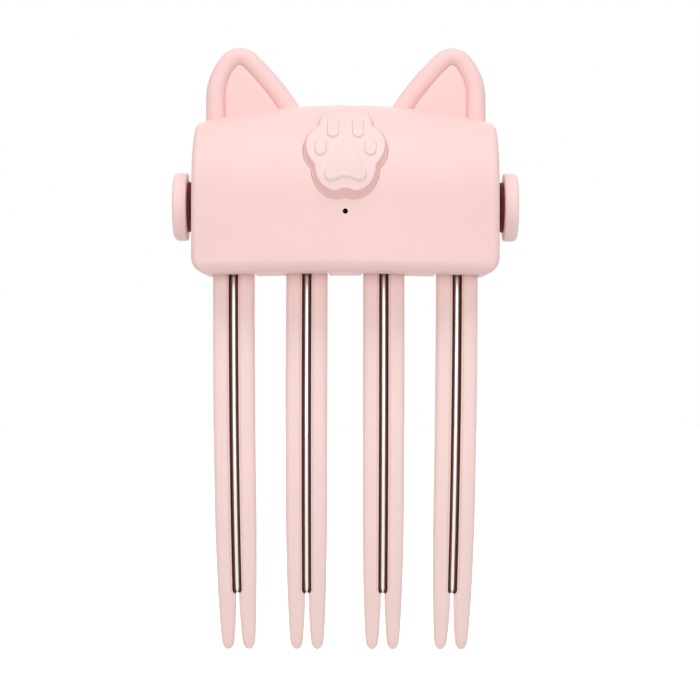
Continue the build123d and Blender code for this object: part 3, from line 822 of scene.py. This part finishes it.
def ear_outline():
    """Outline of the right ear from its outer foot over the tip, as x, z and the outward direction."""
    flank = [(EAR_FLANK_X, EAR_FOOT_Z + (EAR_FLANK_Z - EAR_FOOT_Z) * step / FLANK_STEPS, 1, 0)
             for step in range(FLANK_STEPS)]
    cheek, heading = tangent_arc((EAR_FLANK_X, EAR_FLANK_Z), (0, 1), EAR_CHEEK, CHEEK_STEPS)
    tip, heading = tangent_arc(EAR_CHEEK, heading, EAR_TIP, TIP_STEPS)
    slope = tangent_arc(EAR_TIP, heading, EAR_INNER_FOOT, SLOPE_STEPS)[0]
    whole = flank + cheek + tip[1:] + slope[1:]
    return [row for row in whole if row[1] >= EAR_FOOT_Z]


def bead_profile():
    """Share of the bead's width and depth, from the ear's side over the crest down to the panel's edge."""
    rows = []
    for step in range(BEAD_STEPS + 1):
        turn = BEAD_CUT * step / BEAD_STEPS
        share = (1 - math.cos(turn)) / (1 - math.cos(BEAD_CUT))
        rows.append((share, EAR_SIDE_Y - BEAD_HEIGHT * math.sin(turn)))
    return rows


def rungs(ring, depth, dome=0.0):
    """Skin across an open ring, from its first half to its second, at one depth with a dome in the middle."""
    rows = []
    for place in range(len(ring) // 2):
        x_low, z_low = ring[place]
        x_high, z_high = ring[-1 - place]
        bulge = dome * 4 * min(1.0, math.hypot(x_high - x_low, z_high - z_low) / DOME_LENGTH)
        row = []
        for step in range(PANEL_STEPS + 1):
            share = step / PANEL_STEPS
            y = depth - bulge * share * (1 - share)
            row.append((x_low + (x_high - x_low) * share, y, z_low + (z_high - z_low) * share))
        rows.append(row)
    return loft(rows, ends=False, closed=False)


def make_ear(side_name, side):
    """One ear in front of the cover's own: its bead, its panel and a flat back."""
    outline = ear_outline()
    rows = [(0.0, 0.0, EAR_BACK_Y)]
    rows += [(share, 0.0, y) for share, y in bead_profile()]
    rows += [(1.0, beyond, y) for beyond, y in PANEL_EDGE]
    rings = []
    for share, beyond, y in rows:
        ring = []
        for x, z, out_x, out_z in outline:
            inset = EAR_TRIM + share * along(BEAD_WIDTHS, z) + beyond
            ring.append((x - out_x * inset, y, z - out_z * inset))
        rings.append(ring)
    back_edge, panel_edge = [[(x, z) for x, y, z in ring] for ring in (rings[0], rings[-1])]
    parts = [loft(rings, ends=False, closed=False), rungs(panel_edge, PANEL_Y, PANEL_DOME),
             rungs(back_edge, EAR_BACK_Y)]
    points, faces = merge(parts)
    new_piece(f"ear_{side_name}", [(side * x, y, z) for x, y, z in points], faces, "housing", (PINK,),
              "shell_pink", sharp=55, close=True)


# Floor, world and lamps

FLOOR_Z = -0.16
FLOOR_CORNERS = ((-3, -3), (3, -3), (3, 3), (-3, 3))
FLOOR_GLOW = 0.75
WORLD_STRENGTH = 0.47
# Name, place, target, width, height and power of each lamp
LAMPS = (("top_light", (0.0, -0.35, 0.75), (0, 0, 0.01), 0.9, 0.5, 3.7),
         ("front_fill", (0.0, -0.9, -0.1), (0, 0, -0.02), 0.8, 0.8, 4.3),
         ("back_fill", (0.0, 0.9, 0.35), (0, 0, 0.0), 0.8, 0.8, 2.0))


def seen_directly(nodes, links):
    """One for rays from the camera, or seen in gloss or through glass."""
    path = nodes.new("ShaderNodeLightPath")
    some = nodes.new("ShaderNodeMath")
    some.operation = "MAXIMUM"
    links.new(path.outputs["Is Camera Ray"], some.inputs[0])
    links.new(path.outputs["Is Glossy Ray"], some.inputs[1])
    every = nodes.new("ShaderNodeMath")
    every.operation = "MAXIMUM"
    links.new(some.outputs["Value"], every.inputs[0])
    links.new(path.outputs["Is Transmission Ray"], every.inputs[1])
    return every.outputs["Value"]


def make_floor():
    """Pale floor that keeps the shadow and otherwise reads white."""
    mesh = bpy.data.meshes.new("floor")
    mesh.from_pydata([(x, y, FLOOR_Z) for x, y in FLOOR_CORNERS], [], [(0, 1, 2, 3)])
    floor = bpy.data.objects.new("floor", mesh)
    bpy.context.scene.collection.objects.link(floor)
    paint = material("pale_floor", (0.72, 0.72, 0.72), 0.8, vary=0.01, bump=0.01, grain=60)
    nodes = paint.node_tree.nodes
    links = paint.node_tree.links
    glow = nodes.new("ShaderNodeEmission")
    glow.inputs["Strength"].default_value = FLOOR_GLOW
    both = nodes.new("ShaderNodeAddShader")
    links.new(nodes["Principled BSDF"].outputs["BSDF"], both.inputs[0])
    links.new(glow.outputs["Emission"], both.inputs[1])
    choose = nodes.new("ShaderNodeMixShader")
    links.new(seen_directly(nodes, links), choose.inputs["Fac"])
    links.new(nodes["Principled BSDF"].outputs["BSDF"], choose.inputs[1])
    links.new(both.outputs["Shader"], choose.inputs[2])
    links.new(choose.outputs["Shader"], nodes["Material Output"].inputs["Surface"])
    mesh.materials.append(paint)


def make_world(strength):
    """Even soft light, with a white background where it is seen."""
    world = bpy.data.worlds.new("studio")
    bpy.context.scene.world = world
    world.use_nodes = True
    nodes = world.node_tree.nodes
    links = world.node_tree.links
    soft = nodes["Background"]
    soft.inputs["Color"].default_value = (1, 1, 1, 1)
    soft.inputs["Strength"].default_value = strength
    white = nodes.new("ShaderNodeBackground")
    white.inputs["Color"].default_value = (1, 1, 1, 1)
    white.inputs["Strength"].default_value = 1.0
    choose = nodes.new("ShaderNodeMixShader")
    links.new(seen_directly(nodes, links), choose.inputs["Fac"])
    links.new(soft.outputs["Background"], choose.inputs[1])
    links.new(white.outputs["Background"], choose.inputs[2])
    links.new(choose.outputs["Shader"], nodes["World Output"].inputs["Surface"])


def softbox(name, place, target, width, height, power):
    """A rectangular lamp that faces a point."""
    data = bpy.data.lights.new(name, "AREA")
    data.shape = "RECTANGLE"
    data.size = width
    data.size_y = height
    data.energy = power
    lamp = bpy.data.objects.new(name, data)
    lamp.location = place
    lamp.rotation_mode = "QUATERNION"
    lamp.rotation_quaternion = (Vector(target) - Vector(place)).to_track_quat("-Z", "Y")
    bpy.context.scene.collection.objects.link(lamp)


make_camera()
finish_nodes()
for fork_number, fork_x in enumerate(FORK_PLACES, start=1):
    make_fork(fork_number, fork_x)
    make_rod(fork_number, fork_x)
make_crossbar()
make_paw()
for knob_name, knob_side in (("left", -1), ("right", 1)):
    make_knob(knob_name, knob_side)
    make_ear(knob_name, knob_side)
make_floor()
make_world(WORLD_STRENGTH)
for lamp in LAMPS:
    softbox(*lamp)
